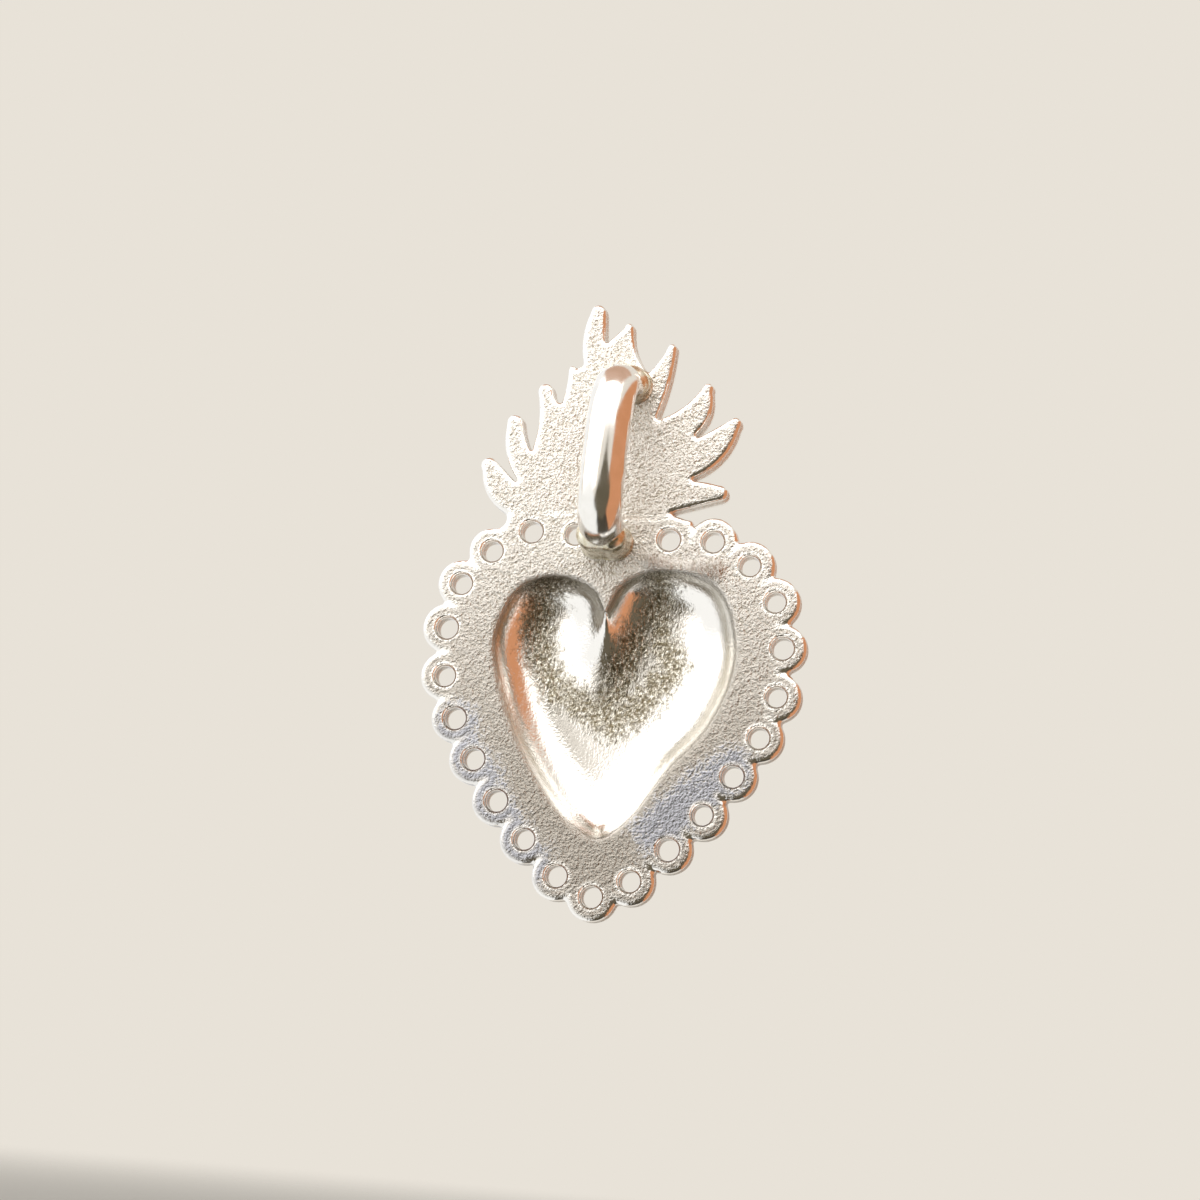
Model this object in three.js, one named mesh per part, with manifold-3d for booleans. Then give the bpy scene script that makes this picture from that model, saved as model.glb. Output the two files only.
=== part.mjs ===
// A sacred heart medal: a silver casting with a crown of flames, a puffed heart and a pierced, scalloped border,
// and a wire bail soldered to its back.
//
// Every piece is drawn with the medal lying on its front: x to the right and y up as seen from the back, z out of
// the back. The back of the plate is z = 0. At the end the medal is stood up, with the flames towards +Z and the
// back towards -Y, and the origin goes to the middle of the opening under the bail. Sizes are in millimetres.

import * as THREE from 'three';
import { mergeVertices } from 'three/addons/utils/BufferGeometryUtils.js';
import Module from 'manifold-3d';

const wasm = await Module();
wasm.setup();

// Plate, with the neck between the top of the border and the flames
const PLATE_THICKNESS = 1.25;
const EDGE_BREAK = 0.17;
const NECK = [[3.4, 3.9], [3.4, 4.9], [-5.2, 4.95], [-5.45, 4.7], [-5.5, 4.3], [-5.8, 3.9], [-5.6, 3.2]];

// Pierced border: the holes lie on a heart-shaped path, given by its cleft, its right side and its tip. One place
// on it, at the cleft, has no hole, because the lower foot of the bail stands there.
const BORDER_MIDDLE_X = 0.15;
const BORDER_CLEFT_Y = 3.6;
const BORDER_RIGHT_SIDE = [[4.35, 3.95], [7.5, 1.25], [7.9, -3.2], [6.15, -7.05], [3.4, -10.65]];
const BORDER_TIP_Y = -13.1;
const BORDER_PLACES = 24;
const SCALLOP_RADIUS = 1.16;
const SCALLOP_SIDES = 20;
const HOLE_RADIUS = 0.48;
const HOLE_CHAMFER = 0.12;
const HOLE_SIDES = 14;

// Puffed heart: the rim of the hollow in the back, from the cleft round by the right and back to the cleft
const HOLLOW_RIM = [
  [-0.35, 0.3],
  [0.45, 1.75],
  [2.6, 2.5],
  [4.95, 1.7],
  [6.0, -1.3],
  [5.1, -4.6],
  [3.1, -7.2],
  [1.55, -9.5],
  [0.25, -10.4],
  [-1.1, -9.85],
  [-2.95, -7.8],
  [-4.8, -4.4],
  [-5.55, -1.2],
  [-4.5, 1.25],
  [-2.7, 1.9],
  [-0.95, 1.3],
  [-0.35, 0.3],
];
const HEART_WALL = 0.8;
const HEART_FULLNESS = 2.6;
const HEART_RIM_POINTS = 54;
const HEART_RINGS = 8;
const HEART_CROWN_SHARE = 0.06;

// The hollow has two bowls, parted by a crease that starts in the cleft and sinks until it ends on the floor
const CREASE_END = [-0.7, -3.4];
const CREASE_STEPS = 60;
const HOLLOW_DEPTH = 1.8;
const HOLLOW_FULLNESS = 2;
const WALL_SQUARENESS = 1.5;
const RIM_STEPS = 400;

// Crown of flames: each lick by its tip, the radius of the tip, the foot of the notch on its right, and how far its
// left and right sides bow outwards (below zero they are hollow)
const FLAME_ROOT = [-0.3, 4.2];
const FLAME_START = [-5.45, 4.75];
const FLAME_RELIEF = 0.3;
const FLAME_FOOT = [[2.3, 4.8], [-1.4, 4.8], [-5.0, 4.65]];
const NOTCH_WIDTH = 0.18;
const LICKS = [
  { tip: [-6.84, 7.34], tipRadius: 0.4, notch: [-5.05, 6.33], leftBow: 0.38, rightBow: 0 },
  { tip: [-5.64, 9.56], tipRadius: 0.4, notch: [-4.45, 7.85], leftBow: 0.28, rightBow: -0.08 },
  { tip: [-4.21, 11.17], tipRadius: 0.37, notch: [-3.3, 10.15], leftBow: -0.17, rightBow: -0.07 },
  { tip: [-2.95, 12.1], tipRadius: 0.2, notch: [-2.47, 12.0], leftBow: -0.05, rightBow: 0 },
  { tip: [-1.95, 15.15], tipRadius: 0.36, notch: [-1.36, 13.2], leftBow: 0.21, rightBow: 0 },
  { tip: [-0.41, 14.32], tipRadius: 0.22, notch: [0.68, 11.85], leftBow: 0, rightBow: -0.2 },
  { tip: [1.82, 13.4], tipRadius: 0.21, notch: [1.38, 9.6], leftBow: -0.06, rightBow: 0.12 },
  { tip: [3.77, 11.54], tipRadius: 0.25, notch: [3.24, 8.86], leftBow: -0.22, rightBow: 0.3 },
  { tip: [5.27, 9.91], tipRadius: 0.28, notch: [3.22, 6.78], leftBow: -0.03, rightBow: 0.4 },
  { tip: [4.97, 6.38], tipRadius: 0.36, notch: [2.27, 5.1], leftBow: 0.03, rightBow: 0 },
];

// Veins carved in the front of the flames: each runs from a notch towards the root of the flames
const VEIN_DEPTH = 0.3;
const VEIN_HALF_WIDTH = 0.26;
const VEIN_LENGTH = 0.55;
const VEIN_LEAD = 0.3;
const VEIN_BEND = 0.3;
const VEIN_TAPER = 0.95;
const VEIN_STEPS = 6;

// Bail: a wire with a flat inside and a domed outside, bent to an arch between two beads of solder
const BAIL_MIDDLE = [-0.39, 7.42];
const BAIL_LEAN = THREE.MathUtils.degToRad(2.3);
const BAIL_SPAN = 7.6;
const BAIL_HEIGHT = 4.5;
const BAIL_SQUARENESS = 2.7;
const BAIL_STEPS = 30;
const WIRE_WIDTH = 2.1;
const WIRE_THICKNESS = 1.3;
const WIRE_CORNER = 0.3;
const BEAD_MARGIN = 0.16;
const BEAD_CORNER = 0.6;
const BEAD_BULGE = 0.15;
const BEAD_BULGE_STEPS = 3;
const BEAD_HEIGHT = 1.2;

// How far a cutter or a joined piece reaches past the face that it cuts or joins
const REACH = 0.4;

// Straight steps in each curve of an outline
const CURVE_STEPS = 4;

// Corners are snapped to this fine grid, so that faces which should lie in one plane do
const GRID = 1e-5;

function toSolid(geometry) {
  const bare = geometry.clone();
  bare.deleteAttribute('normal');
  bare.deleteAttribute('uv');
  const merged = mergeVertices(bare, GRID);
  return new wasm.Manifold(new wasm.Mesh({
    numProp: 3,
    vertProperties: Float32Array.from(merged.attributes.position.array, (value) => Math.round(value / GRID) * GRID),
    triVerts: Uint32Array.from(merged.index.array),
  }));
}

function toGeometry(solid) {
  const { vertProperties, triVerts, numProp } = solid.getMesh();
  const geometry = new THREE.BufferGeometry();
  const positions = new THREE.InterleavedBuffer(vertProperties, numProp);
  geometry.setAttribute('position', new THREE.InterleavedBufferAttribute(positions, 3, 0));
  geometry.setIndex(Array.from(triVerts));
  const shaped = geometry.toNonIndexed();
  shaped.computeVertexNormals();
  return shaped;
}

// A closed solid through rings of points that run clockwise as seen from where the rings start
function loft(rings) {
  const sides = rings[0].length;
  const points = rings.flat();
  const faces = [];
  for (let ring = 0; ring < rings.length - 1; ring += 1) {
    for (let side = 0; side < sides; side += 1) {
      const here = ring * sides + side;
      const beside = ring * sides + (side + 1) % sides;
      faces.push(here, beside, beside + sides, here, beside + sides, here + sides);
    }
  }
  const lastRing = (rings.length - 1) * sides;
  const firstMiddle = points.push(middleOf(rings[0])) - 1;
  const lastMiddle = points.push(middleOf(rings.at(-1))) - 1;
  for (let side = 0; side < sides; side += 1) {
    const beside = (side + 1) % sides;
    faces.push(firstMiddle, beside, side);
    faces.push(lastMiddle, lastRing + side, lastRing + beside);
  }
  const geometry = new THREE.BufferGeometry().setFromPoints(points);
  geometry.setIndex(faces);
  return geometry;
}

function middleOf(ring) {
  const sum = ring.reduce((total, point) => total.add(point), new THREE.Vector3());
  return sum.divideScalar(ring.length);
}

// The centres of the border's holes, from the right of the cleft round the tip to the left of the cleft
function borderCentres() {
  const place = (side) => ([dx, y]) => new THREE.Vector3(BORDER_MIDDLE_X + side * dx, y, 0);
  const path = new THREE.CatmullRomCurve3([
    place(0)([0, BORDER_CLEFT_Y]),
    ...BORDER_RIGHT_SIDE.map(place(1)),
    place(0)([0, BORDER_TIP_Y]),
    ...BORDER_RIGHT_SIDE.map(place(-1)).reverse(),
  ], true, 'catmullrom');
  return path.getPoints(BORDER_PLACES).slice(1, -1);
}

// A round turned about an axis through the plate, from a profile of [radius, z] points between the axis's two ends
function turned(profile, sides) {
  const geometry = new THREE.LatheGeometry(profile.map(([radius, z]) => new THREE.Vector2(radius, z)), sides);
  return geometry.rotateX(Math.PI / 2);
}

function scallop() {
  const profile = [
    [0, -PLATE_THICKNESS],
    [SCALLOP_RADIUS - EDGE_BREAK, -PLATE_THICKNESS],
    [SCALLOP_RADIUS, EDGE_BREAK - PLATE_THICKNESS],
    [SCALLOP_RADIUS, -EDGE_BREAK],
    [SCALLOP_RADIUS - EDGE_BREAK, 0],
    [0, 0],
  ];
  return turned(profile, SCALLOP_SIDES);
}

// The cutter for one hole, flared where it leaves each face so that the hole's edges are chamfered
function holeCutter() {
  const flare = HOLE_RADIUS + HOLE_CHAMFER + REACH;
  const profile = [
    [0, -PLATE_THICKNESS - REACH],
    [flare, -PLATE_THICKNESS - REACH],
    [HOLE_RADIUS, HOLE_CHAMFER - PLATE_THICKNESS],
    [HOLE_RADIUS, -HOLE_CHAMFER],
    [flare, REACH],
    [0, REACH],
  ];
  return turned(profile, HOLE_SIDES);
}

function plateOf(outline) {
  const plate = new THREE.ExtrudeGeometry(new THREE.Shape(outline), { depth: PLATE_THICKNESS, bevelEnabled: false });
  return plate.translate(0, 0, -PLATE_THICKNESS);
}

// A heart that swells from baseZ towards the front: every ring is the rim drawn in towards the end of the crease,
// at the depths that depthAt gives for a point and its ring's share. The first ring reaches a little behind baseZ.
function puffedHeart(rim, baseZ, fullness, depthAt) {
  const middle = new THREE.Vector3(...CREASE_END, 0);
  const shares = [];
  for (let ring = 1; ring < HEART_RINGS; ring += 1) {
    const turn = (Math.PI / 2) * (ring / HEART_RINGS);
    shares.push(Math.cos(turn) ** (2 / fullness));
  }
  shares.push(HEART_CROWN_SHARE);
  const inner = shares.map((share) => rim.map((rimPoint) => {
    const point = middle.clone().lerp(rimPoint, share);
    return point.setZ(baseZ - depthAt(point, share));
  }));
  const onBase = rim.map((point) => point.clone().setZ(baseZ));
  const behind = rim.map((point) => point.clone().setZ(baseZ + REACH));
  return loft([behind, onBase, ...inner]);
}

// The depth of a dome whose section is a squared ellipse, as a share of its height
function domeDepth(share, fullness, squareness) {
  return (1 - share ** fullness) ** (1 / squareness);
}

function heartRim(steps) {
  const curve = new THREE.CatmullRomCurve3(HOLLOW_RIM.map(([x, y]) => new THREE.Vector3(x, y, 0)));
  return curve.getSpacedPoints(steps).slice(0, -1);
}

function widened(rim, margin) {
  const middle = new THREE.Vector3(...CREASE_END, 0);
  return rim.map((point) => {
    const outwards = point.clone().sub(middle).normalize();
    return point.clone().addScaledVector(outwards, margin);
  });
}

// The crease's points, from just below the cleft to its end, with z as their height
function creaseLine(cleft) {
  const line = [];
  for (let step = 1; step < CREASE_STEPS; step += 1) {
    const share = step / (CREASE_STEPS - 1);
    line.push(cleft.clone().lerp(new THREE.Vector3(...CREASE_END, -HOLLOW_DEPTH), share));
  }
  return line;
}

// A distance to the rim and the crease that has no ridges in between, as each of their points pushes from afar. A
// long straight row of such points pushes with 2 divided by the distance squared.
function softDistance() {
  const rim = heartRim(RIM_STEPS);
  const crease = creaseLine(rim[0]);
  const rimSpacing = rim[1].distanceTo(rim[2]);
  const creaseSpacing = Math.hypot(crease[1].x - crease[0].x, crease[1].y - crease[0].y);
  return (point) => {
    const pushFrom = (spacing) => (push, from) => push + spacing / point.distanceTo(from) ** 3;
    const push = rim.reduce(pushFrom(rimSpacing), 0) + crease.reduce(pushFrom(creaseSpacing), 0);
    return Math.sqrt(2 / push);
  };
}

// The cutter for the hollow: the further a point is from the rim and the crease, the deeper it lies
function hollowCutter(rim) {
  const distanceAt = softDistance();
  const middle = new THREE.Vector3(...CREASE_END, 0);
  const shares = Array.from({ length: HEART_RINGS }, (_, ring) => ring / HEART_RINGS);
  const places = shares.flatMap((share) => rim.map((point) => middle.clone().lerp(point, share)));
  const furthest = Math.max(...places.map(distanceAt));
  return puffedHeart(rim, 0, HOLLOW_FULLNESS, (point) => {
    const share = Math.max(1 - distanceAt(point) / furthest, 0);
    return HOLLOW_DEPTH * domeDepth(share, HOLLOW_FULLNESS, WALL_SQUARENESS);
  });
}

// The dome that the front shows, a wall's width larger than the hollow
function outerDome(rim) {
  const height = HOLLOW_DEPTH + HEART_WALL - PLATE_THICKNESS;
  const depthAt = (point, share) => height * domeDepth(share, HEART_FULLNESS, 2);
  return puffedHeart(widened(rim, HEART_WALL), -PLATE_THICKNESS, HEART_FULLNESS, depthAt);
}

// A curve from one point to another whose middle stands off the straight line, to the left of the way it runs. A
// straight side gets no points in between, as those would be left out of the flat faces.
function bowTo(shape, end, bow) {
  if (bow === 0) {
    shape.lineTo(end.x, end.y);
    return;
  }
  const start = shape.currentPoint;
  const along = end.clone().sub(start).normalize();
  const control = start.clone().add(end).multiplyScalar(0.5);
  control.x -= along.y * bow * 2;
  control.y += along.x * bow * 2;
  shape.quadraticCurveTo(control.x, control.y, end.x, end.y);
}

// One lick of flame: up its left side, round its tip, down its right side and through the rounded notch
function addLick(shape, { tip, tipRadius, notch, leftBow, rightBow }) {
  const peak = new THREE.Vector2(...tip);
  const foot = new THREE.Vector2(...notch);
  const root = shape.currentPoint.clone().add(foot).multiplyScalar(0.5);
  const upwards = peak.clone().sub(root).normalize();
  const leftwards = new THREE.Vector2(-upwards.y, upwards.x);
  const centre = peak.clone().addScaledVector(upwards, -tipRadius);
  const heading = leftwards.angle();
  bowTo(shape, centre.clone().addScaledVector(leftwards, tipRadius), leftBow);
  shape.absarc(centre.x, centre.y, tipRadius, heading, heading - Math.PI, true);

  const inwards = new THREE.Vector2(...FLAME_ROOT).sub(foot).normalize();
  const across = new THREE.Vector2(inwards.y, -inwards.x).multiplyScalar(NOTCH_WIDTH / 2);
  const mouth = foot.clone().addScaledVector(inwards, -NOTCH_WIDTH);
  bowTo(shape, mouth.clone().add(across), rightBow);
  shape.quadraticCurveTo(foot.x, foot.y, mouth.x - across.x, mouth.y - across.y);
}

function flameCrown() {
  const outline = new THREE.Shape();
  outline.moveTo(...FLAME_START);
  for (const lick of LICKS) addLick(outline, lick);
  for (const corner of FLAME_FOOT) outline.lineTo(...corner);
  outline.closePath();
  const crown = new THREE.ExtrudeGeometry(outline, {
    depth: PLATE_THICKNESS + FLAME_RELIEF - 2 * EDGE_BREAK,
    curveSegments: CURVE_STEPS,
    bevelThickness: EDGE_BREAK,
    bevelSize: EDGE_BREAK,
    bevelOffset: -EDGE_BREAK,
    bevelSegments: 1,
  });
  return crown.translate(0, 0, EDGE_BREAK - PLATE_THICKNESS - FLAME_RELIEF);
}

// The cutter for one vein: a diamond section that tapers away along a bent line, with its spine below the front face
function veinCutter([x, y]) {
  const frontZ = -PLATE_THICKNESS - FLAME_RELIEF;
  const foot = new THREE.Vector3(x, y, frontZ);
  const aim = new THREE.Vector3(...FLAME_ROOT, frontZ).sub(foot);
  const across = new THREE.Vector3(-aim.y, aim.x, 0).normalize();
  const start = foot.clone().addScaledVector(aim.clone().normalize(), -VEIN_LEAD);
  const end = foot.clone().addScaledVector(aim, VEIN_LENGTH);
  const bend = start.clone().lerp(end, 0.5).addScaledVector(across, VEIN_BEND * Math.sign(x - FLAME_ROOT[0]));
  const spine = new THREE.QuadraticBezierCurve3(start, bend, end);
  const rings = [];
  for (let step = 0; step <= VEIN_STEPS; step += 1) {
    const share = 1 - VEIN_TAPER * (step / VEIN_STEPS);
    const point = spine.getPoint(step / VEIN_STEPS);
    rings.push([
      point.clone().addScaledVector(across, VEIN_HALF_WIDTH * share),
      point.clone().setZ(frontZ + VEIN_DEPTH * share),
      point.clone().addScaledVector(across, -VEIN_HALF_WIDTH * share),
      point.clone().setZ(frontZ - REACH),
    ]);
  }
  return loft(rings);
}

function casting() {
  const centres = borderCentres();
  const rim = heartRim(HEART_RIM_POINTS);
  let solid = toSolid(flameCrown());
  for (const { notch } of LICKS.slice(0, -1)) {
    solid = solid.subtract(toSolid(veinCutter(notch)));
  }
  solid = solid.add(toSolid(plateOf(centres)));
  solid = solid.add(toSolid(plateOf(NECK.map(([x, y]) => new THREE.Vector2(x, y)))));
  for (const { x, y } of centres) {
    solid = solid.add(toSolid(scallop().translate(x, y, 0)));
  }
  for (const { x, y } of centres) {
    solid = solid.subtract(toSolid(holeCutter().translate(x, y, 0)));
  }
  solid = solid.add(toSolid(outerDome(rim)));
  solid = solid.subtract(toSolid(hollowCutter(rim)));
  return toGeometry(solid);
}

// The wire's middle line: an arch squarer than an ellipse, standing on the two beads of solder
class BailLine extends THREE.Curve {
  getPoint(t, target = new THREE.Vector3()) {
    const turn = Math.PI * t;
    const rise = BAIL_HEIGHT - WIRE_THICKNESS / 2 - BEAD_HEIGHT;
    const along = Math.sign(Math.cos(turn)) * Math.abs(Math.cos(turn)) ** (2 / BAIL_SQUARENESS);
    const up = Math.sin(turn) ** (2 / BAIL_SQUARENESS);
    return target.set(0, -along * BAIL_SPAN / 2, BEAD_HEIGHT + rise * up);
  }
}

function wireSection() {
  const half = WIRE_WIDTH / 2;
  const flat = -WIRE_THICKNESS / 2;
  const section = new THREE.Shape();
  section.moveTo(WIRE_CORNER - half, flat);
  section.lineTo(half - WIRE_CORNER, flat);
  section.quadraticCurveTo(half, flat, half, flat + WIRE_CORNER);
  section.absellipse(0, flat + WIRE_CORNER, half, WIRE_THICKNESS - WIRE_CORNER, 0, Math.PI);
  section.quadraticCurveTo(-half, flat, WIRE_CORNER - half, flat);
  return section;
}

function bail() {
  return new THREE.ExtrudeGeometry(wireSection(), {
    extrudePath: new BailLine(),
    steps: BAIL_STEPS,
    curveSegments: CURVE_STEPS,
    bevelEnabled: false,
  });
}

// A lump of solder, a little wider than the foot of wire that stands on it
function solderBead() {
  const right = WIRE_WIDTH / 2 + BEAD_MARGIN - BEAD_CORNER;
  const top = WIRE_THICKNESS / 2 + BEAD_MARGIN - BEAD_CORNER;
  const footprint = new THREE.Shape();
  footprint.absarc(right, top, BEAD_CORNER, 0, Math.PI / 2);
  footprint.absarc(-right, top, BEAD_CORNER, Math.PI / 2, Math.PI);
  footprint.absarc(-right, -top, BEAD_CORNER, Math.PI, -Math.PI / 2);
  footprint.absarc(right, -top, BEAD_CORNER, -Math.PI / 2, 0);
  const bead = new THREE.ExtrudeGeometry(footprint, {
    depth: BEAD_HEIGHT - 2 * BEAD_BULGE,
    curveSegments: 2 * CURVE_STEPS,
    bevelThickness: BEAD_BULGE,
    bevelSize: BEAD_BULGE,
    bevelOffset: -BEAD_BULGE,
    bevelSegments: BEAD_BULGE_STEPS,
  });
  return bead.translate(0, 0, BEAD_BULGE);
}

function metal(colour, roughness) {
  return new THREE.MeshStandardMaterial({ color: colour, roughness, metalness: 1 });
}

function piece(name, geometry, material) {
  const mesh = new THREE.Mesh(geometry, material);
  mesh.name = name;
  return mesh;
}

function medal() {
  const castSilver = metal(0xd8d5cc, 0.45);
  const polishedSilver = metal(0xe6e4de, 0.1);
  const solder = metal(0xc9c2ab, 0.25);
  const lowerBead = piece('solder_joint_lower', solderBead(), solder);
  const upperBead = piece('solder_joint_upper', solderBead(), solder);
  lowerBead.position.y = -BAIL_SPAN / 2;
  upperBead.position.y = BAIL_SPAN / 2;

  const bailOnBack = new THREE.Group();
  bailOnBack.add(piece('bail_wire', bail(), polishedSilver), lowerBead, upperBead);
  bailOnBack.position.set(...BAIL_MIDDLE, 0);
  bailOnBack.rotation.z = -BAIL_LEAN;

  const lying = new THREE.Group();
  lying.add(piece('heart_medal_casting', casting(), castSilver), bailOnBack);
  lying.rotation.x = Math.PI / 2;
  const openingMiddleZ = (BAIL_HEIGHT - WIRE_THICKNESS) / 2;
  lying.position.set(-BAIL_MIDDLE[0], openingMiddleZ, -BAIL_MIDDLE[1]);

  const standing = new THREE.Group();
  standing.add(lying);
  return standing;
}

export default medal();
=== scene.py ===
# %% [markdown]
# # A sacred heart medal, seen from its back
# The real object is a small silver casting: a puffed heart inside a pierced, scalloped border,
# under a crown of flames. A wire bail is soldered to the back. The CAD part gives the sizes and
# places. This script gives the same pieces their softened edges, their cast grain and their polish.
# Only the two lumps of solder are shaped more freely than in the CAD part, as a melt is.

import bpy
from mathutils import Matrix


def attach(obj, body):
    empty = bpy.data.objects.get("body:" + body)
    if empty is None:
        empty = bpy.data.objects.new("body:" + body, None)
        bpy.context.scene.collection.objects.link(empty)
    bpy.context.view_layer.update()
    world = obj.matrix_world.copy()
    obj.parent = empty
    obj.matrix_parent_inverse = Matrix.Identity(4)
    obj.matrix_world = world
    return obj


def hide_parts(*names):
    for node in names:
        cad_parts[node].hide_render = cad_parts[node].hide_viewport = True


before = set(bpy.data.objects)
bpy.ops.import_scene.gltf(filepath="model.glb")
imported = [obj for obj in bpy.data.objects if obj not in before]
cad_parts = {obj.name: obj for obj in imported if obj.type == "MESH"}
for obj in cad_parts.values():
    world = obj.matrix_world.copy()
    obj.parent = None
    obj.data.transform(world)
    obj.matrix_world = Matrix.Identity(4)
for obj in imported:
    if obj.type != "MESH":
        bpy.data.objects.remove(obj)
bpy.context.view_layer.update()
print("CAD nodes:", ", ".join(sorted(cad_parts)))

# %% [markdown]
# ## Units and the drawing
# The medal is drawn lying on its front, in millimetres: x to the right and y up as seen from the
# back, z out of the back, with the back of the plate at z = 0. The row frame stands it up, with the
# flames towards +Z, the back towards -Y and the origin in the opening under the bail. One function
# does that turn for every piece, once its mesh is finished, so that no object has to be moved or
# scaled.

# %% From the drawing to the row frame
import itertools
import math

import bpy
import numpy as np

MM = 0.001
BAIL_MIDDLE = np.array([-0.39, 7.42])
BAIL_HEIGHT = 4.5
WIRE_THICKNESS = 1.3
OPENING_MIDDLE_Z = (BAIL_HEIGHT - WIRE_THICKNESS) / 2


def stood_up(points):
    x, y, z = np.asarray(points, float).T
    placed = [x - BAIL_MIDDLE[0], OPENING_MIDDLE_Z - z, y - BAIL_MIDDLE[1]]
    return np.stack(placed, axis=-1) * MM


print("middle of the back of the plate, in metres:", stood_up([[0, 0, 0]])[0])

# %% [markdown]
# ## The outlines
# Three outlines make the medal: the row of holes, the rim of the hollow heart and the crown of
# flames. The first two are smooth curves through a few points, and the third is a row of licks,
# each with two bowed sides, a round tip and a rounded notch. They are the same points that the CAD
# part is drawn from.

# %% A smooth curve through points
def smooth_curve(points, steps, closed, evenness):
    points = np.array(points, float)
    if closed:
        line = np.vstack([points[-1:], points, points[:2]])
    else:
        line = np.vstack([2 * points[:1] - points[1:2], points, 2 * points[-1:] - points[-2:-1]])
    share = np.linspace(0, 1, steps, endpoint=False)[:, None]
    stretches = []
    for before, start, end, after in zip(line, line[1:], line[2:], line[3:]):
        first, middle, last = (
            np.linalg.norm(step) ** evenness for step in (start - before, end - start, after - end)
        )
        leave = (start - before) / first - (end - before) / (first + middle) + (end - start) / middle
        arrive = (end - start) / middle - (after - start) / (middle + last) + (after - end) / last
        leave *= middle
        arrive *= middle
        squared = 3 * (end - start) - 2 * leave - arrive
        cubed = 2 * (start - end) + leave + arrive
        stretches.append(start + share * leave + share**2 * squared + share**3 * cubed)
    return np.vstack(stretches)


# %% The centres of the holes
BORDER_MIDDLE_X = 0.15
BORDER_CLEFT_Y = 3.6
BORDER_RIGHT_SIDE = [[4.35, 3.95], [7.5, 1.25], [7.9, -3.2], [6.15, -7.05], [3.4, -10.65]]
BORDER_TIP_Y = -13.1
BORDER_PLACES = 24


def border_centres():
    right = np.array(BORDER_RIGHT_SIDE)
    left = right[::-1] * [-1, 1]
    corners = np.vstack([[0, BORDER_CLEFT_Y], right, [0, BORDER_TIP_Y], left]) + [BORDER_MIDDLE_X, 0]
    path = smooth_curve(corners, BORDER_PLACES // len(corners), closed=True, evenness=0)
    return path[1:]


hole_centres = border_centres()
print("holes:", len(hole_centres))

# %% The rim of the hollow heart
HOLLOW_RIM = [
    [-0.35, 0.3],
    [0.45, 1.75],
    [2.6, 2.5],
    [4.95, 1.7],
    [6.0, -1.3],
    [5.1, -4.6],
    [3.1, -7.2],
    [1.55, -9.5],
    [0.25, -10.4],
    [-1.1, -9.85],
    [-2.95, -7.8],
    [-4.8, -4.4],
    [-5.55, -1.2],
    [-4.5, 1.25],
    [-2.7, 1.9],
    [-0.95, 1.3],
    [-0.35, 0.3],
]
RIM_STEPS = 36

hollow_rim = smooth_curve(HOLLOW_RIM, RIM_STEPS, closed=False, evenness=0.5)
print("hollow:", np.ptp(hollow_rim, axis=0).round(2), "mm wide and high")

# %% The crown of flames
FLAME_ROOT = np.array([-0.3, 4.2])
FLAME_START = np.array([-5.45, 4.75])
FLAME_FOOT = [[2.3, 4.8], [-1.4, 4.8], [-5.0, 4.65]]
NOTCH_WIDTH = 0.18
CURVE_STEPS = 10
LICKS = [
    {"tip": [-6.84, 7.34], "tip_radius": 0.4, "notch": [-5.05, 6.33], "bows": (0.38, 0)},
    {"tip": [-5.64, 9.56], "tip_radius": 0.4, "notch": [-4.45, 7.85], "bows": (0.28, -0.08)},
    {"tip": [-4.21, 11.17], "tip_radius": 0.37, "notch": [-3.3, 10.15], "bows": (-0.17, -0.07)},
    {"tip": [-2.95, 12.1], "tip_radius": 0.2, "notch": [-2.47, 12.0], "bows": (-0.05, 0)},
    {"tip": [-1.95, 15.15], "tip_radius": 0.36, "notch": [-1.36, 13.2], "bows": (0.21, 0)},
    {"tip": [-0.41, 14.32], "tip_radius": 0.22, "notch": [0.68, 11.85], "bows": (0, -0.2)},
    {"tip": [1.82, 13.4], "tip_radius": 0.21, "notch": [1.38, 9.6], "bows": (-0.06, 0.12)},
    {"tip": [3.77, 11.54], "tip_radius": 0.25, "notch": [3.24, 8.86], "bows": (-0.22, 0.3)},
    {"tip": [5.27, 9.91], "tip_radius": 0.28, "notch": [3.22, 6.78], "bows": (-0.03, 0.4)},
    {"tip": [4.97, 6.38], "tip_radius": 0.36, "notch": [2.27, 5.1], "bows": (0.03, 0)},
]


def unit(vector):
    return vector / np.linalg.norm(vector)


def left_of(vector):
    return np.array([-vector[1], vector[0]])


def bent_line(start, control, end):
    share = np.linspace(0, 1, CURVE_STEPS)[1:, None]
    return (1 - share) ** 2 * start + 2 * share * (1 - share) * control + share**2 * end


def bowed_line(start, end, bow):
    control = (start + end) / 2 + left_of(unit(end - start)) * bow * 2
    return bent_line(start, control, end)


def lick_outline(start, tip, tip_radius, notch, bows):
    tip = np.array(tip)
    notch = np.array(notch)
    upwards = unit(tip - (start + notch) / 2)
    leftwards = left_of(upwards)
    centre = tip - upwards * tip_radius
    turn = np.linspace(0, math.pi, CURVE_STEPS)[1:, None]
    inwards = unit(FLAME_ROOT - notch)
    across = -left_of(inwards) * NOTCH_WIDTH / 2
    mouth = notch - inwards * NOTCH_WIDTH
    left_side = bowed_line(start, centre + leftwards * tip_radius, bows[0])
    round_tip = centre + tip_radius * (np.cos(turn) * leftwards + np.sin(turn) * upwards)
    right_side = bowed_line(round_tip[-1], mouth + across, bows[1])
    return np.vstack([left_side, round_tip, right_side, bent_line(mouth + across, notch, mouth - across)])


def crown_outline():
    outline = FLAME_START[None]
    for lick in LICKS:
        outline = np.vstack([outline, lick_outline(outline[-1], **lick)])
    return np.vstack([outline, FLAME_FOOT])


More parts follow.
